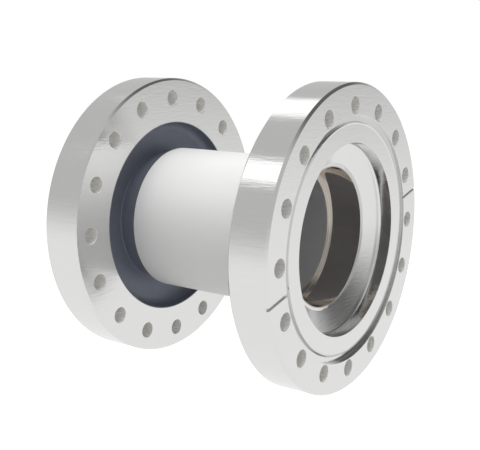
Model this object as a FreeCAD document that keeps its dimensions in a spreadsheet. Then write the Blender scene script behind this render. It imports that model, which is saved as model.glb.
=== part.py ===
import FreeCAD, Part
import Sketcher
import math
import os

# Ceramic vacuum break: two bolted vacuum flanges joined through an insulating ceramic tube.
# The long axis is X and the origin is the middle of the part. The front flange is at +X.
# Every piece is drawn from the bolt face of its own flange: depth runs into the part, radius from the axis.

doc = FreeCAD.newDocument("ceramic_vacuum_break")

# Millimetres and degrees, one value for each thing that can be set
size = {
    "overall_length": 132.2,
    "front_flange_thickness": 20.1,
    "rear_flange_thickness": 21.4,
    "flange_radius": 75.8,
    "rim_chamfer": 1.1,
    "bolt_to_rim": 10.7,
    "bolt_hole_radius": 4.2,
    "bolt_count": 16,
    "bolt_to_recess": 0.6,
    "recess_depth": 2.5,
    "knife_to_recess": 3.5,
    "knife_depth": 1.0,
    "knife_flank": 0.6,
    "knife_ramp": 0.7,
    "land_depth": 1.25,
    "mouth_radius": 47.3,
    "mouth_wall_depth": 7.9,
    "funnel_round": 1.5,
    "seat_ring_width": 1.5,
    "seat_ring_step": 0.4,
    "trough_radius": 52.16,
    "trough_depth": 13.6,
    "lip_thickness": 0.6,
    "leak_groove_width": 1.6,
    "leak_groove_depth": 1.0,
    "leak_groove_angle": 77.5,
    "leak_groove_count": 2,
    "cup_sheet": 0.4,
    "cup_bend": 5.0,
    "hub_bend": 0.9,
    "sleeve_sheet": 0.4,
    "foot_bend": 2.8,
    "foot_inset": 0.15,
    "fit_gap": 0.05,
    "braze_thickness": 0.4,
    "braze_inset": 0.1,
    "ceramic_radius": 38.1,
    "ceramic_wall": 6.35,
    "counterbore_wall": 2.95,
    "ceramic_depth": 25.1,
    "shoulder_depth": 31.6,
}

sheet = doc.addObject("Spreadsheet::Sheet", "Sizes")
for row, name in enumerate(size, start=1):
    sheet.set("A%d" % row, name)
    sheet.set("B%d" % row, str(size[name]))
    sheet.setAlias("B%d" % row, name)
doc.recompute()


# A formula is a sum or difference of size names and plain numbers, parted by spaces
def value_of(formula):
    total = 0.0
    sign = 1.0
    for word in formula.split():
        if word == "+":
            sign = 1.0
        elif word == "-":
            sign = -1.0
        else:
            total += sign * (size[word] if word in size else float(word))
    return total


def bound(formula):
    words = ["Sizes." + word if word in size else word for word in formula.split()]
    return " ".join(words)


def origin_part(body, role):
    for item in body.Origin.OriginFeatures:
        if item.Role == role:
            return item
    raise RuntimeError("no origin feature with the role " + role)


def add_sketch(body, name, role):
    sketch = body.newObject("Sketcher::SketchObject", body.Label + "_" + name)
    sketch.AttachmentSupport = (origin_part(body, role), [""])
    sketch.MapMode = "FlatFace"
    return sketch


def pin(sketch, kind, element, point, formula):
    index = sketch.addConstraint(Sketcher.Constraint(kind, -1, 1, element, point, value_of(formula)))
    sketch.setExpression("Constraints[%d]" % index, bound(formula))


# A corner is (depth, radius). Two more formulas, a centre, make the way to the next corner an arc.
def draw_outline(sketch, outline):
    corners = [FreeCAD.Vector(value_of(step[0]), value_of(step[1]), 0) for step in outline]
    count = len(outline)
    ends = []
    for i, step in enumerate(outline):
        start = corners[i]
        finish = corners[(i + 1) % count]
        if len(step) == 2:
            element = sketch.addGeometry(Part.LineSegment(start, finish), False)
            ends.append((element, 1, 2))
            continue
        centre = FreeCAD.Vector(value_of(step[2]), value_of(step[3]), 0)
        first = math.atan2(start.y - centre.y, start.x - centre.x)
        last = math.atan2(finish.y - centre.y, finish.x - centre.x)
        circle = Part.Circle(centre, FreeCAD.Vector(0, 0, 1), (start - centre).Length)
        anticlockwise = (last - first) % (2 * math.pi) < math.pi
        if anticlockwise:
            element = sketch.addGeometry(Part.ArcOfCircle(circle, first, last), False)
            ends.append((element, 1, 2))
        else:
            element = sketch.addGeometry(Part.ArcOfCircle(circle, last, first), False)
            ends.append((element, 2, 1))
    for i in range(count):
        element, _, finish_point = ends[i]
        after, after_point, _ = ends[(i + 1) % count]
        sketch.addConstraint(Sketcher.Constraint("Coincident", element, finish_point, after, after_point))
    for i, step in enumerate(outline):
        element, start_point, _ = ends[i]
        pin(sketch, "DistanceX", element, start_point, step[0])
        pin(sketch, "DistanceY", element, start_point, step[1])
        if len(step) == 4:
            pin(sketch, "DistanceX", element, 3, step[2])


def turned_body(label, outline):
    body = doc.addObject("PartDesign::Body", label)
    sketch = add_sketch(body, "profile", "XZ_Plane")
    draw_outline(sketch, outline)
    turned = body.newObject("PartDesign::Revolution", label + "_turned")
    turned.Profile = sketch
    turned.ReferenceAxis = (sketch, ["H_Axis"])
    turned.Angle = 360
    sketch.Visibility = False
    doc.recompute()
    return body


# The front pieces are turned end for end about the vertical, the rear ones by one bolt pitch about the axis,
# so that the bolt holes of both flanges line up
def place(body, front):
    if front:
        turn = FreeCAD.Rotation(FreeCAD.Vector(0, 0, 1), 180)
        body.Placement = FreeCAD.Placement(FreeCAD.Vector(), turn)
        body.setExpression(".Placement.Base.x", "Sizes.overall_length / 2")
    else:
        turn = FreeCAD.Rotation(FreeCAD.Vector(1, 0, 0), 360 / size["bolt_count"])
        body.Placement = FreeCAD.Placement(FreeCAD.Vector(), turn)
        body.setExpression(".Placement.Base.x", "-Sizes.overall_length / 2")
        body.setExpression(".Placement.Rotation.Angle", "360 / Sizes.bolt_count")


def cut_round(body, name, sketch, through, count):
    pocket = body.newObject("PartDesign::Pocket", body.Label + "_" + name)
    pocket.Profile = sketch
    pocket.Reversed = True
    if through:
        pocket.Type = "ThroughAll"
    else:
        pocket.setExpression("Length", "Sizes.leak_groove_depth")
    sketch.Visibility = False
    doc.recompute()
    ring = body.newObject("PartDesign::PolarPattern", body.Label + "_" + name + "_ring")
    ring.Originals = [pocket]
    ring.Axis = (origin_part(body, "X_Axis"), [""])
    ring.Angle = 360
    ring.setExpression("Occurrences", "Sizes." + count)
    body.Tip = ring
    doc.recompute()


# Rounds the circle that has this depth and radius
def round_circle(body, depth, radius, rounding):
    whole = body.Tip
    for number, edge in enumerate(whole.Shape.Edges, start=1):
        curve = edge.Curve
        if curve.TypeId != "Part::GeomCircle" or abs(curve.Radius - value_of(radius)) > 0.001:
            continue
        if abs(curve.Center.x - value_of(depth)) < 0.001:
            fillet = body.newObject("PartDesign::Fillet", body.Label + "_" + rounding)
            fillet.Base = (whole, ["Edge%d" % number])
            fillet.setExpression("Radius", "Sizes." + rounding)
            body.Tip = fillet
            doc.recompute()
            return
    raise RuntimeError("no circle to round in " + body.Label)


# The bolt circle follows the rim, the recess follows the bolt holes and the knife edge follows the recess
bolt_circle = "flange_radius - bolt_to_rim"
recess = bolt_circle + " - bolt_hole_radius - bolt_to_recess"
knife = recess + " - knife_to_recess"

# The tube's bore and counterbore follow its outside, and the sleeve follows the counterbore
tube_bore = "ceramic_radius - ceramic_wall"
counterbore = "ceramic_radius - counterbore_wall"
sleeve_outside = counterbore + " - fit_gap"


# The knife edge stands in the recess. Inside it a straight wall and a cone lead down to a flat ring
# round the sleeve, and the trough behind takes the cup.
def make_flange(label, thickness, front):
    ring = counterbore + " + seat_ring_width"
    body = turned_body(label, [
        ("land_depth", "mouth_radius"),
        ("land_depth", knife + " - knife_ramp"),
        ("knife_depth", knife),
        ("recess_depth", knife + " + knife_flank"),
        ("recess_depth", recess),
        ("0", recess),
        ("0", "flange_radius - rim_chamfer"),
        ("rim_chamfer", "flange_radius"),
        (thickness + " - rim_chamfer", "flange_radius"),
        (thickness, "flange_radius - rim_chamfer"),
        (thickness, "trough_radius"),
        ("trough_depth + cup_bend", "trough_radius",
         "trough_depth + cup_bend", "trough_radius - cup_bend"),
        ("trough_depth", "trough_radius - cup_bend"),
        ("trough_depth", counterbore),
        ("trough_depth - lip_thickness", counterbore),
        ("trough_depth - lip_thickness", ring),
        ("trough_depth - lip_thickness - seat_ring_step", ring),
        ("mouth_wall_depth", "mouth_radius"),
    ])
    round_circle(body, "mouth_wall_depth", "mouth_radius", "funnel_round")

    # Bolt holes, the first one straight up
    hole = add_sketch(body, "bolt_hole_sketch", "YZ_Plane")
    centre = FreeCAD.Vector(0, value_of(bolt_circle), 0)
    element = hole.addGeometry(Part.Circle(centre, FreeCAD.Vector(0, 0, 1), size["bolt_hole_radius"]), False)
    hole.addConstraint(Sketcher.Constraint("PointOnObject", element, 3, -2))
    pin(hole, "DistanceY", element, 3, bolt_circle)
    radius = hole.addConstraint(Sketcher.Constraint("Radius", element, size["bolt_hole_radius"]))
    hole.setExpression("Constraints[%d]" % radius, "Sizes.bolt_hole_radius")
    cut_round(body, "bolt_holes", hole, True, "bolt_count")

    # Leak-check grooves from the recess out through the rim
    groove = add_sketch(body, "leak_groove_sketch", "YZ_Plane")
    inner = value_of(recess + " - knife_flank")
    outer = value_of("flange_radius + rim_chamfer")
    half = size["leak_groove_width"] / 2
    corners = [(-half, inner), (half, inner), (half, outer), (-half, outer)]
    for i in range(4):
        start = FreeCAD.Vector(corners[i][0], corners[i][1], 0)
        finish = FreeCAD.Vector(corners[(i + 1) % 4][0], corners[(i + 1) % 4][1], 0)
        groove.addGeometry(Part.LineSegment(start, finish), False)
    for i in range(4):
        groove.addConstraint(Sketcher.Constraint("Coincident", i, 2, (i + 1) % 4, 1))
    groove.addConstraint(Sketcher.Constraint("Horizontal", 2))
    groove.addConstraint(Sketcher.Constraint("Vertical", 1))
    groove.addConstraint(Sketcher.Constraint("Symmetric", 0, 1, 0, 2, -2))
    width = groove.addConstraint(Sketcher.Constraint("DistanceX", 0, 1, 0, 2, 2 * half))
    groove.setExpression("Constraints[%d]" % width, "Sizes.leak_groove_width")
    pin(groove, "DistanceY", 0, 1, recess + " - knife_flank")
    pin(groove, "DistanceY", 2, 1, "flange_radius + rim_chamfer")
    groove.setExpression(".AttachmentOffset.Rotation.Angle", "Sizes.leak_groove_angle")
    cut_round(body, "leak_grooves", groove, False, "leak_groove_count")
    place(body, front)


# A thin spun sheet: outer leg in the flange, flat web, and a hub that reaches the ceramic end
def make_cup(label, thickness, front):
    outside = "trough_radius - fit_gap"
    web = "trough_depth + cup_sheet"
    bend_depth = "trough_depth + cup_bend"
    bend_radius = outside + " - cup_bend"
    hub_depth = "trough_depth + hub_bend"
    hub_radius = counterbore + " + hub_bend"
    hub_end = "ceramic_depth - braze_thickness"
    body = turned_body(label, [
        (thickness, outside),
        (bend_depth, outside, bend_depth, bend_radius),
        ("trough_depth", bend_radius),
        ("trough_depth", hub_radius, hub_depth, hub_radius),
        (hub_depth, counterbore),
        (hub_end, counterbore),
        (hub_end, counterbore + " + cup_sheet"),
        (hub_depth, counterbore + " + cup_sheet", hub_depth, hub_radius),
        (web, hub_radius),
        (web, bend_radius, bend_depth, bend_radius),
        (bend_depth, outside + " - cup_sheet"),
        (thickness, outside + " - cup_sheet"),
    ])
    place(body, front)


# A thin sleeve through the hub into the ceramic, its foot turned in onto the shoulder
def make_sleeve(label, front):
    lip = "trough_depth - lip_thickness"
    bend_depth = "shoulder_depth - foot_bend"
    bend_radius = sleeve_outside + " - foot_bend"
    foot = tube_bore + " + foot_inset"
    body = turned_body(label, [
        (lip, sleeve_outside),
        (bend_depth, sleeve_outside, bend_depth, bend_radius),
        ("shoulder_depth", bend_radius),
        ("shoulder_depth", foot),
        ("shoulder_depth - sleeve_sheet", foot),
        ("shoulder_depth - sleeve_sheet", bend_radius, bend_depth, bend_radius),
        (bend_depth, sleeve_outside + " - sleeve_sheet"),
        (lip, sleeve_outside + " - sleeve_sheet"),
    ])
    place(body, front)


def make_braze_ring(label, front):
    body = turned_body(label, [
        ("ceramic_depth - braze_thickness", counterbore),
        ("ceramic_depth", counterbore),
        ("ceramic_depth", "ceramic_radius - braze_inset"),
        ("ceramic_depth - braze_thickness", "ceramic_radius - braze_inset"),
    ])
    place(body, front)


make_flange("front_flange", "front_flange_thickness", True)
make_flange("rear_flange", "rear_flange_thickness", False)
make_cup("front_expansion_cup", "front_flange_thickness", True)
make_cup("rear_expansion_cup", "rear_flange_thickness", False)
make_sleeve("front_seal_sleeve", True)
make_sleeve("rear_seal_sleeve", False)
make_braze_ring("front_braze_ring", True)
make_braze_ring("rear_braze_ring", False)

# The tube is counterbored at both ends for the sleeves
tube = turned_body("ceramic_tube", [
    ("ceramic_depth", counterbore),
    ("ceramic_depth", "ceramic_radius"),
    ("overall_length - ceramic_depth", "ceramic_radius"),
    ("overall_length - ceramic_depth", counterbore),
    ("overall_length - shoulder_depth", counterbore),
    ("overall_length - shoulder_depth", tube_bore),
    ("shoulder_depth", tube_bore),
    ("shoulder_depth", counterbore),
])
place(tube, False)

doc.recompute()

# Every feature has to be sound before a piece is written
for item in doc.Objects:
    if "Invalid" in item.State or "Error" in item.State:
        raise RuntimeError("%s did not rebuild: %s" % (item.Name, item.State))

os.makedirs("parts", exist_ok=True)
for item in doc.Objects:
    if item.TypeId != "PartDesign::Body":
        continue
    if item.Shape.isNull() or not item.Shape.isValid():
        raise RuntimeError(item.Label + " has no sound shape")
    item.Shape.exportStep("parts/%s.step" % item.Label)
    box = item.Shape.optimalBoundingBox(False, False)
    print("%-20s solids %d  volume %10.1f  x %8.3f %8.3f  y %7.2f %7.2f  z %7.2f %7.2f" % (
        item.Label, len(item.Shape.Solids), item.Shape.Volume,
        box.XMin, box.XMax, box.YMin, box.YMax, box.ZMin, box.ZMax))
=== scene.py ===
# Ceramic vacuum break: two bolted knife-edge flanges joined by an insulating alumina tube.
# The bore axis is X, the front flange is at +X. Sizes in the dictionaries are millimetres, those of the
# stage and the camera metres, and angles are degrees.
import math

import bmesh
import bpy
import numpy as np
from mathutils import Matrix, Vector


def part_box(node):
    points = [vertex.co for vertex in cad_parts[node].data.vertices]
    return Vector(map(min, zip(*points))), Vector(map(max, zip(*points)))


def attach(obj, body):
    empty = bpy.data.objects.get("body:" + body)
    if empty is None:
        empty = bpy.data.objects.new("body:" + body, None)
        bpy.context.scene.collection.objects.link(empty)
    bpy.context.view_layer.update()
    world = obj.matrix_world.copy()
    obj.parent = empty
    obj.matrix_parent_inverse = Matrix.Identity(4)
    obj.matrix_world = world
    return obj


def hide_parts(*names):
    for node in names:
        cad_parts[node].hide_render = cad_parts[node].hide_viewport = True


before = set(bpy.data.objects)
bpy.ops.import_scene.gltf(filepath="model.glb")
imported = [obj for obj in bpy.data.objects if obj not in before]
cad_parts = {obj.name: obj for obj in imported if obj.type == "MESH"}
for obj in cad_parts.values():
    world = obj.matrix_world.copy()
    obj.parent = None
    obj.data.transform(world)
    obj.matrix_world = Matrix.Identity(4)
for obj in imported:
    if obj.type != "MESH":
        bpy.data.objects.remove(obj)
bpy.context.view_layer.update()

mm = 0.001
print("frame loaded")


# Sizes read from the frame

def reach(node):
    # A node's two ends along X and its radius, in millimetres
    low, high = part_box(node)
    return {"x0": low.x / mm, "x1": high.x / mm, "radius": high.z / mm}


frontFlange = reach("front_flange")
rearFlange = reach("rear_flange")
ceramic = reach("ceramic_tube")
sleeveNode = reach("front_seal_sleeve")
brazeNode = reach("front_braze_ring")
halfLength = frontFlange["x1"]


# Surfaces

skinLook = {
    "roundingStep": 7.0,         # degrees between two points of a rounding
    "mergeDistance": 0.002,
    "sharpAngle": 32.0,          # degrees, steeper edges stay sharp
}


def cornerArc(before, corner, after, step):
    # The corner becomes an arc of its own radius, tangent to both sides: the arc's centre lies on the
    # bisector, radius over sine of the half angle away, and the points sweep between the two tangent points.
    place = np.array(corner[:2], float)
    a = np.array(before[:2], float) - place
    b = np.array(after[:2], float) - place
    a /= np.linalg.norm(a)
    b /= np.linalg.norm(b)
    half = math.acos(np.clip(a @ b, -1, 1)) / 2
    radius = corner[2]
    centre = place + (a + b) / np.linalg.norm(a + b) * radius / math.sin(half)
    start = place + a * radius / math.tan(half) - centre
    finish = place + b * radius / math.tan(half) - centre
    first = math.atan2(start[1], start[0])
    sweep = (math.atan2(finish[1], finish[0]) - first + math.pi) % (2 * math.pi) - math.pi
    count = max(3, math.ceil(abs(math.degrees(sweep)) / step) + 1)
    turn = first + sweep * np.linspace(0, 1, count)
    return centre + radius * np.stack([np.cos(turn), np.sin(turn)], -1)


def roundedChain(corners, first, last, step=skinLook["roundingStep"]):
    # The rounded corners first to last of a closed outline of (depth, radius, rounding), joined in order
    arcs = []
    for i in range(first, last + 1):
        arcs.append(cornerArc(corners[i - 1], corners[i], corners[(i + 1) % len(corners)], step))
    return np.concatenate(arcs)


def gridFaces(rows, columns, closedRows=False, closedColumns=False):
    # Quads between neighbouring points of a grid stored row by row
    rowStarts = np.arange(rows if closedRows else rows - 1)
    columnStarts = np.arange(columns if closedColumns else columns - 1)
    i, j = np.meshgrid(rowStarts, columnStarts, indexing="ij")
    below = (i + 1) % rows
    right = (j + 1) % columns
    quads = [i * columns + j, i * columns + right, below * columns + right, below * columns + j]
    return np.stack(quads, -1).reshape(-1, 4)


def turned(outline, angles, face, inward, closed):
    # Every outline point (depth, radius) goes round the axis: x = face + inward * depth,
    # y = radius * sin(angle), z = radius * cos(angle)
    depth, radius = outline[:, 0, None], outline[:, 1, None]
    x = face + inward * depth + 0 * angles
    points = np.stack([x, radius * np.sin(angles), radius * np.cos(angles)], -1)
    return points.reshape(-1, 3), gridFaces(len(outline), len(angles), closed, True)


def addSkin(name, points, faces, finish):
    # Points on the same place are merged, which closes the skin, and its faces are turned outwards
    mesh = bpy.data.meshes.new(name)
    mesh.from_pydata((points * mm).tolist(), [], faces)
    mesh.polygons.foreach_set("material_index", finish.astype(np.int32))
    work = bmesh.new()
    work.from_mesh(mesh)
    bmesh.ops.remove_doubles(work, verts=work.verts, dist=skinLook["mergeDistance"] * mm)
    bmesh.ops.recalc_face_normals(work, faces=work.faces)
    work.to_mesh(mesh)
    work.free()
    piece = bpy.data.objects.new(name, mesh)
    bpy.context.scene.collection.objects.link(piece)
    return piece


def cutGrooves(piece, cutters):
    # The bars are cut away, and each new face keeps its bar's place in the list of materials
    for cutter in cutters:
        cut = piece.modifiers.new("groove", "BOOLEAN")
        cut.operation = "DIFFERENCE"
        cut.solver = "EXACT"
        cut.object = cutter
    bpy.context.view_layer.update()
    whole = piece.data
    seen = piece.evaluated_get(bpy.context.evaluated_depsgraph_get())
    piece.data = bpy.data.meshes.new_from_object(seen)
    piece.modifiers.clear()
    bpy.data.meshes.remove(whole)
    for cutter in cutters:
        bpy.data.objects.remove(cutter)


def makePiece(name, patches, materials, node, cutters=()):
    # Each patch is its points, its faces and their places in the list of materials. Patches share their
    # border points.
    points = np.concatenate([patch[0] for patch in patches])
    starts = np.cumsum([0] + [len(patch[0]) for patch in patches[:-1]])
    faces = np.concatenate([patch[1] + start for patch, start in zip(patches, starts)])
    finish = np.concatenate([np.zeros(len(patch[1]), int) + patch[2] for patch in patches])
    piece = addSkin(name, points, faces.tolist(), finish)
    for material in materials:
        piece.data.materials.append(material)
    if cutters:
        cutGrooves(piece, cutters)
    piece.data.name = name
    piece.data.shade_smooth()
    piece.data.set_sharp_from_angle(angle=math.radians(skinLook["sharpAngle"]))
    weighted = piece.modifiers.new("even shading", "WEIGHTED_NORMAL")
    weighted.keep_sharp = True
    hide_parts(node)
    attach(piece, "root")


# Materials

def linear(colour):
    # sRGB hex to linear colour
    part = np.array([int(colour[i:i + 2], 16) for i in (1, 3, 5)]) / 255
    return (*np.where(part <= 0.04045, part / 12.92, ((part + 0.055) / 1.055) ** 2.4).tolist(), 1.0)


def addNode(tree, kind, settings=None, links=None):
    # A setting is an input's name or number, or a property of the node. A link is an input to an output.
    made = tree.nodes.new(kind)
    for name, value in (settings or {}).items():
        if isinstance(name, int) or name in made.inputs:
            made.inputs[name].default_value = value
        else:
            setattr(made, name, value)
    for name, output in (links or {}).items():
        tree.links.new(output, made.inputs[name])
    return made


def newMaterial(name):
    material = bpy.data.materials.new(name)
    material.use_nodes = True
    material.node_tree.nodes.clear()
    return material, material.node_tree


def toneAndRelief(tree, pattern, look):
    # The pattern goes from the darker tone to the lighter one and lifts the surface by up to bump mm
    light, dark = look["tones"]
    tone = addNode(tree, "ShaderNodeMix", {"data_type": "RGBA", 6: linear(dark), 7: linear(light)},
                   {0: pattern})
    relief = addNode(tree, "ShaderNodeBump", {"Strength": 1.0, "Distance": look["bump"] * mm},
                     {"Height": pattern})
    return {"Base Color": tone.outputs[2], "Normal": relief.outputs[0]}


steelLook = {
    "streakThickness": 1.0,      # real abrasion is far finer, drawn coarse enough to show
    "streakLength": 10.0,
    "turned": {"tones": ("#E6E6E5", "#E0E0DF"), "rough": (0.1, 0.15), "bump": 0.045, "metallic": 1.0},
    # the drilled tones are near white: painted light for the deep bolt-hole walls
    "drilled": {"tones": ("#FFFEFC", "#FCFBF7"), "rough": (0.15, 0.35), "bump": 0.12, "metallic": 0.2},
    "milled": {"tones": ("#E8E6E2", "#DEDCD8"), "rough": (0.15, 0.35), "bump": 0.12, "metallic": 0.3},
}


def brushedSteel(name, look):
    # 304L stainless, brushed level after machining: fine level streaks break up its reflections
    material, tree = newMaterial(name)
    place = addNode(tree, "ShaderNodeTexCoord")
    along = 1 / (steelLook["streakLength"] * mm)
    across = 1 / (steelLook["streakThickness"] * mm)
    stretch = addNode(tree, "ShaderNodeMapping", {"Scale": (along, along, across)},
                      {"Vector": place.outputs["Object"]})
    streak = addNode(tree, "ShaderNodeTexNoise", {"Scale": 1.0, "Detail": 3.0, "Roughness": 0.6},
                     {"Vector": stretch.outputs[0]})
    smoothest, roughest = look["rough"]
    rough = addNode(tree, "ShaderNodeMapRange",
                    {"From Min": 0.3, "From Max": 0.7, "To Min": smoothest, "To Max": roughest},
                    {"Value": streak.outputs["Fac"]})
    shader = addNode(tree, "ShaderNodeBsdfPrincipled", {"Metallic": look["metallic"]},
                     {**toneAndRelief(tree, streak.outputs["Fac"], look), "Roughness": rough.outputs[0]})
    addNode(tree, "ShaderNodeOutputMaterial", links={"Surface": shader.outputs[0]})
    return material


turnedSteel = brushedSteel("turned stainless steel", steelLook["turned"])
# A drill leaves a torn, rough wall, so it is mostly matt here. Its near-white tone is painted light that
# brightens the deep hole walls.
drilledSteelPaintedLight = brushedSteel("drilled steel with painted light", steelLook["drilled"])
# A milled groove is left a little rough too, so its corners stay grey and don't turn black
milledSteel = brushedSteel("milled stainless steel", steelLook["milled"])


sheetLook = {
    "cup": {"tones": ("#848A97", "#7D828E"), "rough": 0.5, "cloud": 6.0, "bump": 0.003, "metallic": 0.3},
    "sleeve": {"tones": ("#D7D2CC", "#D1CCC6"), "rough": 0.07, "cloud": 9.0, "bump": 0.001, "metallic": 1.0},
    "braze": {"tones": ("#A58475", "#8C6F62"), "rough": 0.35, "cloud": 2.0, "bump": 0.01, "metallic": 1.0},
}


def sheetMetal(name, look):
    # Thin metal that has been through a brazing oven: rolling and heat leave soft clouds of tone. The cup's
    # blue-grey oxide film hides most of its metal shine.
    material, tree = newMaterial(name)
    place = addNode(tree, "ShaderNodeTexCoord")
    cloud = addNode(tree, "ShaderNodeTexNoise", {"Scale": 1 / (look["cloud"] * mm), "Detail": 4.0},
                    {"Vector": place.outputs["Object"]})
    shader = addNode(tree, "ShaderNodeBsdfPrincipled",
                     {"Metallic": look["metallic"], "Roughness": look["rough"]},
                     toneAndRelief(tree, cloud.outputs["Fac"], look))
    addNode(tree, "ShaderNodeOutputMaterial", links={"Surface": shader.outputs[0]})
    return material


cupMetal = sheetMetal("blue-grey oxidised sheet", sheetLook["cup"])
sleeveMetal = sheetMetal("polished nickel-iron sleeve", sheetLook["sleeve"])
brazeMetal = sheetMetal("copper-silver braze", sheetLook["braze"])


aluminaLook = {
    "ground": {"tones": ("#F2F2F1", "#EEEEED"), "rough": 0.42, "grain": 0.5, "bump": 0.003},
    # the bore's grey tones are painted shade: inside, the real tube is as white as outside
    "paintedBoreShade": {"tones": ("#B0B0B2", "#AAAAAC"), "rough": 0.6, "grain": 0.5, "bump": 0.003},
}


def aluminaFinish(name, look):
    # Sintered alumina: a white ceramic with a satin skin and a very faint grain
    material, tree = newMaterial(name)
    place = addNode(tree, "ShaderNodeTexCoord")
    grain = addNode(tree, "ShaderNodeTexNoise", {"Scale": 1 / (look["grain"] * mm), "Detail": 3.0},
                    {"Vector": place.outputs["Object"]})
    shader = addNode(tree, "ShaderNodeBsdfPrincipled", {"Roughness": look["rough"], "IOR": 1.76},
                     toneAndRelief(tree, grain.outputs["Fac"], look))
    addNode(tree, "ShaderNodeOutputMaterial", links={"Surface": shader.outputs[0]})
    return material


groundAlumina = aluminaFinish("ground alumina", aluminaLook["ground"])
boreAluminaPaintedShade = aluminaFinish("alumina bore with painted shade", aluminaLook["paintedBoreShade"])     # greyer: painted shade for the dim inside of the bore, whose alumina is as white as the outside
print("materials made")


# Flanges

flangeLook = {
    "rimChamfer": 1.1,
    "edge": 0.15,
    "boltCircle": 65.1,
    "boltHole": 4.2,
    "boltCount": 16,
    "recessRadius": 60.3,
    "recessDepth": 2.5,
    "knifeRadius": 56.8,
    "knifeDepth": 1.0,
    "knifeRamp": 0.7,
    "knifeFlank": 0.6,
    "knifeTip": 0.05,
    "landDepth": 1.25,
    "mouthRadius": 47.3,
    "wallDepth": 7.9,
    "funnelRound": 1.5,
    "ringRadius": 36.65,
    "ringStep": 0.4,
    "lipDepth": 13.0,
    "lipBore": 35.15,
    "lipEdge": 0.1,
    "troughDepth": 13.6,
    "troughRadius": 52.16,
    "troughRound": 5.0,
    "grooveWidth": 1.6,
    "grooveDepth": 1.0,
    "grooveAngle": {"front": 77.5, "rear": 80.0},     # degrees from straight up, with a second one opposite
    "raysToArc": 20,
    "raysToSide": 8,
    "faceRings": 3,
    "holeEdgeStep": 30.0,
}
flangeSteels = [turnedSteel, drilledSteelPaintedLight, milledSteel]
turnedFaces, drilledFaces, milledFaces = 0, 1, 2     # their places in that list


def boltCell(inner, outer):
    # Rays leave the hole's centre and end on the inner arc, the outer arc or the two radial sides of its
    # sector. On a circle of radius r round the axis a ray's length is c cos(t) -+ sqrt(r^2 - c^2 sin(t)^2),
    # with c the bolt circle and t the ray's angle from straight inwards. Returns these angles, the lengths
    # and the places round the axis where rays meet the two arcs.
    f = flangeLook
    centre = f["boltCircle"]
    half = math.pi / f["boltCount"]
    innerCorner = math.atan2(inner * math.sin(half), centre - inner * math.cos(half))
    outerCorner = math.atan2(outer * math.sin(half), centre - outer * math.cos(half))
    toInner = np.linspace(-innerCorner, innerCorner, f["raysToArc"] + 1)
    toSide = np.linspace(innerCorner, outerCorner, f["raysToSide"] + 1)
    toOuter = np.linspace(outerCorner, 2 * math.pi - outerCorner, f["raysToArc"] + 1)
    innerLength = centre * np.cos(toInner) - np.sqrt(inner ** 2 - (centre * np.sin(toInner)) ** 2)
    outerLength = centre * np.cos(toOuter) + np.sqrt(outer ** 2 - (centre * np.sin(toOuter)) ** 2)
    sideLength = centre * math.tan(half) / (np.sin(toSide) + np.cos(toSide) * math.tan(half))
    rays = np.concatenate([toInner[:-1], toSide[:-1], toOuter[:-1], -toSide[:0:-1]])
    lengths = np.concatenate([innerLength[:-1], sideLength[:-1], outerLength[:-1], sideLength[:0:-1]])
    innerAngles = np.arctan2(innerLength * np.sin(toInner), centre - innerLength * np.cos(toInner))
    outerAngles = np.arctan2(outerLength * np.sin(toOuter), centre - outerLength * np.cos(toOuter))[::-1]
    return rays, lengths, innerAngles[:-1], outerAngles[:-1]


def allRound(angles):
    # One sector's angles repeated for every bolt
    pitch = 2 * math.pi / flangeLook["boltCount"]
    return (np.arange(flangeLook["boltCount"])[:, None] * pitch + angles).ravel()


def boltFace(x, rays, lengths, start):
    # Round every hole the flat face runs in straight lines from the hole's edge to the sector's border:
    # distance = (1 - t) * start + t * length along each ray
    t = np.linspace(0, 1, flangeLook["faceRings"] + 1)[:, None]
    away = (1 - t) * start + t * lengths
    return boltRings(np.full_like(away, x), away, rays)


def boltRings(x, away, rays):
    # Rings round each bolt's centre, turned into place: ring point = centre + away * ray direction
    pitch = 2 * math.pi / flangeLook["boltCount"]
    rows, columns = away.shape
    patches = []
    for k in range(flangeLook["boltCount"]):
        tangential = away * np.sin(rays)
        radial = flangeLook["boltCircle"] - away * np.cos(rays)
        cosine, sine = math.cos(k * pitch), math.sin(k * pitch)
        y = tangential * cosine + radial * sine
        z = radial * cosine - tangential * sine
        patches.append((np.stack([x, y, z], -1).reshape(-1, 3), gridFaces(rows, columns, False, True)))
    return patches


def grooveCutter(face, inward, angle):
    # A closed bar along a radius, from inside the recess out past the rim, as deep as the leak-check groove
    f = flangeLook
    across = np.array([-1, 1, 1, -1]) * f["grooveWidth"] / 2
    depth = np.array([-1, -1, 1, 1]) * f["grooveDepth"]
    along = np.array([f["recessRadius"] - f["knifeFlank"], frontFlange["radius"] + f["grooveWidth"]])[:, None]
    sine, cosine = math.sin(angle), math.cos(angle)
    x = face + inward * depth + 0 * along
    y = along * sine + across * cosine
    z = along * cosine - across * sine
    points = np.stack([x, y, z], -1).reshape(-1, 3)
    faces = gridFaces(2, 4, False, True).tolist() + [[0, 1, 2, 3], [4, 5, 6, 7]]
    return addSkin("groove bar", points, faces, np.full(len(faces), milledFaces))


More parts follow.
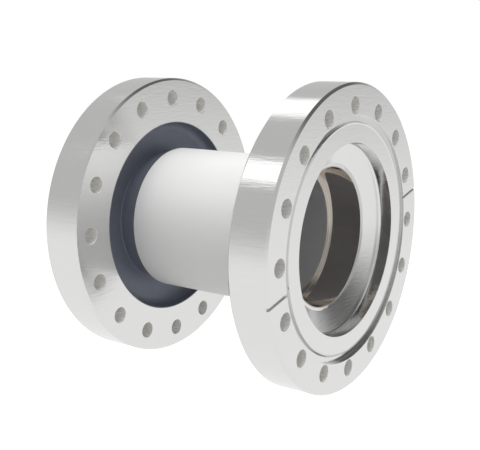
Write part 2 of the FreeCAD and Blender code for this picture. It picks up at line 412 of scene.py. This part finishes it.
def makeFlange(side, box, face, inward):
    f = flangeLook
    edge = f["edge"]
    thickness = box["x1"] - box["x0"]
    rim = box["radius"]
    bolted = rim - f["rimChamfer"]
    corners = [
        (thickness, f["troughRadius"], edge),
        (f["troughDepth"], f["troughRadius"], f["troughRound"]),
        (f["troughDepth"], f["lipBore"], f["lipEdge"]),
        (f["lipDepth"], f["lipBore"], f["lipEdge"]),
        (f["lipDepth"], f["ringRadius"], f["lipEdge"]),
        (f["lipDepth"] - f["ringStep"], f["ringRadius"], edge),
        (f["wallDepth"], f["mouthRadius"], f["funnelRound"]),
        (f["landDepth"], f["mouthRadius"], edge),
        (f["landDepth"], f["knifeRadius"] - f["knifeRamp"], edge),
        (f["knifeDepth"], f["knifeRadius"], f["knifeTip"]),
        (f["recessDepth"], f["knifeRadius"] + f["knifeFlank"], edge),
        (f["recessDepth"], f["recessRadius"], edge),
        (0.0, f["recessRadius"], edge),
        (0.0, bolted, edge),
        (f["rimChamfer"], rim, edge),
        (thickness - f["rimChamfer"], rim, edge),
        (thickness, bolted, edge),
    ]
    rimStart = corners.index((0.0, bolted, edge))     # the flat bolt face comes before this corner
    innerChain = roundedChain(corners, 0, rimStart - 1)
    outerChain = roundedChain(corners, rimStart, len(corners) - 1)
    start, stop = innerChain[-1, 1], outerChain[0, 1]
    rays, lengths, innerAngles, outerAngles = boltCell(start, stop)
    innerAngles, outerAngles = allRound(innerAngles), allRound(outerAngles)

    backStrip = np.array([[thickness, start], innerChain[0]])
    skins = [
        turned(innerChain, innerAngles, face, inward, False),
        turned(outerChain, outerAngles, face, inward, False),
        turned(backStrip, innerAngles, face, inward, False),
    ]
    for x in (face, face + inward * thickness):
        skins += boltFace(x, rays, lengths, f["boltHole"] + edge)
    patches = [(*skin, turnedFaces) for skin in skins]

    # Only the hole's two middle corners are rounded. The outer ones say which way the faces run.
    wall = [(0.0, 2 * f["boltHole"]), (0.0, f["boltHole"], edge),
            (thickness, f["boltHole"], edge), (thickness, 2 * f["boltHole"])]
    hole = roundedChain(wall, 1, 2, f["holeEdgeStep"])
    x = face + inward * hole[:, 0, None] + 0 * rays
    patches += [(*ring, drilledFaces) for ring in boltRings(x, hole[:, 1, None] + 0 * rays, rays)]
    angle = f["grooveAngle"][side]
    cutters = [grooveCutter(face, inward, math.radians(angle + turn)) for turn in (0, 180)]
    makePiece(side + "Flange", patches, flangeSteels, side + "_flange", cutters)


makeFlange("front", frontFlange, frontFlange["x1"], -1)
makeFlange("rear", rearFlange, rearFlange["x0"], 1)
print("flanges made")


# Expansion cups, seal sleeves and braze rings

thinLook = {
    "cupSheet": 0.4,
    "cupBend": 5.0,
    "hubBend": 0.9,
    "fitGap": 0.05,
    "sleeveSheet": 0.4,
    "footBend": 0.7,            # inside it the foot is a flat ring, as the photograph shows it
    "footRadius": 31.9,
    "edge": 0.1,
    "brazeEdge": 0.05,
    "brazeFillet": 0.3,
    "brazeStep": 12.0,
    "around": 256,
}
fullCircle = np.linspace(0, 2 * math.pi, thinLook["around"], endpoint=False)


def makeTurned(name, corners, face, inward, materials, node, step=skinLook["roundingStep"], bore=0.0):
    # A closed outline with rounded corners, turned once about the bore axis. Faces whose middle is nearer
    # to the axis than bore get the second material.
    outline = roundedChain(corners, 0, len(corners) - 1, step)
    points, faces = turned(outline, fullCircle, face, inward, True)
    middle = points[faces].mean(axis=1)
    finish = np.hypot(middle[:, 1], middle[:, 2]) < bore
    makePiece(name, [(points, faces, finish)], materials, node)


def makeCup(side, flange, face, inward):
    f, c = flangeLook, thinLook
    thickness = flange["x1"] - flange["x0"]
    outside = f["troughRadius"] - c["fitGap"]
    sheet = c["cupSheet"]
    hubEnd = halfLength - brazeNode["x1"]
    corners = [
        (thickness, outside, c["edge"]),
        (f["troughDepth"], outside, c["cupBend"]),
        (f["troughDepth"], f["lipBore"], c["hubBend"]),
        (hubEnd, f["lipBore"], c["edge"]),
        (hubEnd, f["lipBore"] + sheet, c["edge"]),
        (f["troughDepth"] + sheet, f["lipBore"] + sheet, c["hubBend"] - sheet),
        (f["troughDepth"] + sheet, outside - sheet, c["cupBend"] - sheet),
        (thickness, outside - sheet, c["edge"]),
    ]
    makeTurned(side + "Cup", corners, face, inward, [cupMetal], side + "_expansion_cup")


def makeSleeve(side, face, inward):
    c = thinLook
    start = flangeLook["lipDepth"]
    seat = halfLength - sleeveNode["x0"]
    outer, inner = sleeveNode["radius"], sleeveNode["radius"] - c["sleeveSheet"]
    corners = [
        (start, outer, c["edge"]),
        (seat, outer, c["footBend"]),
        (seat, c["footRadius"], c["edge"]),
        (seat - c["sleeveSheet"], c["footRadius"], c["edge"]),
        (seat - c["sleeveSheet"], inner, c["footBend"] - c["sleeveSheet"]),
        (start, inner, c["edge"]),
    ]
    makeTurned(side + "Sleeve", corners, face, inward, [sleeveMetal], side + "_seal_sleeve")


def makeBraze(side, face, inward):
    c = thinLook
    start, stop = halfLength - brazeNode["x1"], halfLength - brazeNode["x0"]
    corners = [
        (start, flangeLook["lipBore"], c["brazeEdge"]),
        (stop, flangeLook["lipBore"], c["brazeEdge"]),
        (stop, brazeNode["radius"], c["brazeEdge"]),
        (start, brazeNode["radius"], c["brazeFillet"]),
    ]
    makeTurned(side + "Braze", corners, face, inward, [brazeMetal], side + "_braze_ring",
               step=c["brazeStep"])


for side, flange, face, inward in (("front", frontFlange, frontFlange["x1"], -1),
                                   ("rear", rearFlange, rearFlange["x0"], 1)):
    makeCup(side, flange, face, inward)
    makeSleeve(side, face, inward)
    makeBraze(side, face, inward)
print("cups, sleeves and braze made")


# Ceramic tube

tubeLook = {
    "bore": 31.75,
    "counterboreDepth": 6.5,
    "outerEdge": 0.3,
    "innerEdge": 0.15,
}


def makeTube():
    t = tubeLook
    x0, x1, radius = ceramic["x0"], ceramic["x1"], ceramic["radius"]
    seat = flangeLook["lipBore"]
    step = t["counterboreDepth"]
    corners = [
        (x0, radius, t["outerEdge"]),
        (x1, radius, t["outerEdge"]),
        (x1, seat, t["innerEdge"]),
        (x1 - step, seat, t["innerEdge"]),
        (x1 - step, t["bore"], t["innerEdge"]),
        (x0 + step, t["bore"], t["innerEdge"]),
        (x0 + step, seat, t["innerEdge"]),
        (x0, seat, t["innerEdge"]),
    ]
    materials = [groundAlumina, boreAluminaPaintedShade]
    makeTurned("ceramicTube", corners, 0.0, 1, materials, "ceramic_tube",
               bore=seat + t["outerEdge"])


makeTube()
print("tube made")


# Stage: white all round to the camera. Matt surfaces and metal see a room with a pale floor, a greyer
# ceiling and one dim corner, and metal sees two soft bright patches in it too.

stageLook = {
    "floorHeight": -0.30,        # the part is held by its flange, so the floor is well below
    "floorSize": 8.0,
    "floorColour": "#C6C6C6",
    "floorGlow": 0.75,           # camera rays only, lifts the lit floor to white
    "below": 0.95,               # the room's tone under the horizon, above it and in its dim corner
    "above": 0.58,
    "corner": 0.14,
    "horizon": (-0.27, 0.22),    # heights between which the floor's tone passes into the ceiling's
    "cornerWay": (0.5, 0.66, 0.56),
    "cornerSpread": (0.66, 0.9),     # closeness to that way, as a cosine, at its border and its middle
    "mattLift": 1.1,             # matt surfaces get this much more of the room than metal shows
    "glows": (                   # the bright patches, whose reach is from middle to border
        {"turn": -49, "rise": 43, "reach": 12.5, "tone": 1.5},
        {"turn": -126, "rise": 50, "reach": 15.5, "tone": 1.5},
    ),
    "key": {"turn": 0, "rise": 88, "distance": 1.2, "size": 0.8, "power": 9.5},
}


def whiteFloor():
    # Matte pale paper. It looks white to the camera and still takes the part's shadow.
    half = stageLook["floorSize"] / 2
    mesh = bpy.data.meshes.new("floor")
    corners = np.array([[-1, -1], [1, -1], [1, 1], [-1, 1]]) * half
    points = np.column_stack([corners, np.full(4, stageLook["floorHeight"])])
    mesh.from_pydata(points.tolist(), [], [[0, 1, 2, 3]])
    floor = bpy.data.objects.new("floor", mesh)
    bpy.context.scene.collection.objects.link(floor)
    material, tree = newMaterial("white paper")
    paper = addNode(tree, "ShaderNodeBsdfDiffuse", {"Color": linear(stageLook["floorColour"])})
    ray = addNode(tree, "ShaderNodeLightPath")
    lift = addNode(tree, "ShaderNodeMath", {"operation": "MULTIPLY", 1: stageLook["floorGlow"]},
                   {0: ray.outputs["Is Camera Ray"]})
    glow = addNode(tree, "ShaderNodeEmission", links={"Strength": lift.outputs[0]})
    both = addNode(tree, "ShaderNodeAddShader", links={0: paper.outputs[0], 1: glow.outputs[0]})
    addNode(tree, "ShaderNodeOutputMaterial", links={"Surface": both.outputs[0]})
    mesh.materials.append(material)
    floor.visible_glossy = False     # metal sees the world below the horizon instead


def direction(turn, rise):
    # Unit vector (sin turn cos rise, -cos turn cos rise, sin rise): turn is the angle from -Y towards +X,
    # rise the height over the horizon
    turn, rise = math.radians(turn), math.radians(rise)
    return math.sin(turn) * math.cos(rise), -math.cos(turn) * math.cos(rise), math.sin(rise)


def closeness(tree, way, towards):
    # Cosine of the angle between a ray and a direction
    product = addNode(tree, "ShaderNodeVectorMath", {"operation": "DOT_PRODUCT", 1: towards}, {0: way})
    return product.outputs["Value"]


def whiteWorld():
    world = bpy.data.worlds.new("studio")
    bpy.context.scene.world = world
    world.use_nodes = True
    tree = world.node_tree
    tree.nodes.clear()
    s = stageLook
    ray = addNode(tree, "ShaderNodeLightPath")
    way = addNode(tree, "ShaderNodeTexCoord").outputs["Generated"]
    split = addNode(tree, "ShaderNodeSeparateXYZ", links={0: way})
    border, middle = s["cornerSpread"]
    above = addNode(tree, "ShaderNodeMapRange",
                    {"From Min": border, "From Max": middle, "To Min": s["above"], "To Max": s["corner"]},
                    {"Value": closeness(tree, way, s["cornerWay"])})
    low, high = s["horizon"]
    horizon = addNode(tree, "ShaderNodeMapRange",
                      {"interpolation_type": "SMOOTHSTEP", "From Min": low, "From Max": high},
                      {"Value": split.outputs["Z"]})
    room = addNode(tree, "ShaderNodeMix", {2: s["below"]}, {0: horizon.outputs[0], 3: above.outputs[0]})
    lift = addNode(tree, "ShaderNodeMath", {"operation": "MULTIPLY", 1: s["mattLift"]}, {0: room.outputs[0]})
    seen = room.outputs[0]
    for glow in s["glows"]:
        edge = math.cos(math.radians(glow["reach"]))
        soft = addNode(tree, "ShaderNodeMapRange",
                       {"interpolation_type": "SMOOTHSTEP", "From Min": edge, "To Max": glow["tone"]},
                       {"Value": closeness(tree, way, direction(glow["turn"], glow["rise"]))})
        brighter = addNode(tree, "ShaderNodeMath", {"operation": "MAXIMUM"}, {0: seen, 1: soft.outputs[0]})
        seen = brighter.outputs[0]
    toMatt = addNode(tree, "ShaderNodeBackground", links={"Strength": lift.outputs[0]})
    toMetal = addNode(tree, "ShaderNodeBackground", links={"Strength": seen})
    toCamera = addNode(tree, "ShaderNodeBackground", {"Strength": 1.0})
    for background in (toMatt, toMetal, toCamera):
        background.inputs["Color"].default_value = (1, 1, 1, 1)
    lit = addNode(tree, "ShaderNodeMixShader",
                  links={0: ray.outputs["Is Glossy Ray"], 1: toMatt.outputs[0], 2: toMetal.outputs[0]})
    straight = addNode(tree, "ShaderNodeMath", {"operation": "MAXIMUM"},
                       {0: ray.outputs["Is Camera Ray"], 1: ray.outputs["Is Transmission Ray"]})
    view = addNode(tree, "ShaderNodeMixShader",
                   links={0: straight.outputs[0], 1: lit.outputs[0], 2: toCamera.outputs[0]})
    addNode(tree, "ShaderNodeOutputWorld", links={"Surface": view.outputs[0]})


def softLamp(name, turn, rise, distance, size, power):
    # A square lamp aimed at the part, left out of reflections
    away = Vector(direction(turn, rise))
    lamp = bpy.data.lights.new(name, "AREA")
    lamp.shape = "SQUARE"
    lamp.size = size
    lamp.energy = power
    holder = bpy.data.objects.new(name, lamp)
    holder.location = away * distance
    holder.rotation_euler = away.to_track_quat("Z", "Y").to_euler()
    holder.visible_glossy = False
    bpy.context.scene.collection.objects.link(holder)


whiteFloor()
whiteWorld()
softLamp("key", **stageLook["key"])
print("stage and lamps made")


# Camera at the photograph's angle, distance and focal length

cameraLook = {
    "turn": 35.03,
    "rise": 11.69,
    "distance": 0.43764,
    "focal": 62.0,
    "sensor": 36.0,
    "aim": (-0.00005, 0.0, -0.00009),
}


def makeCamera():
    c = cameraLook
    lens = bpy.data.cameras.new("camera")
    lens.sensor_width = c["sensor"]
    lens.sensor_fit = "HORIZONTAL"
    lens.lens = c["focal"]
    lens.clip_start = 0.01
    lens.clip_end = 50.0
    camera = bpy.data.objects.new("camera", lens)
    camera.location = np.array(c["aim"]) + np.array(direction(c["turn"], c["rise"])) * c["distance"]
    camera.rotation_euler = (math.pi / 2 - math.radians(c["rise"]), 0.0, math.radians(c["turn"]))
    bpy.context.scene.collection.objects.link(camera)
    bpy.context.scene.camera = camera


makeCamera()
bpy.context.scene.view_settings.view_transform = "Standard"
print("camera made")
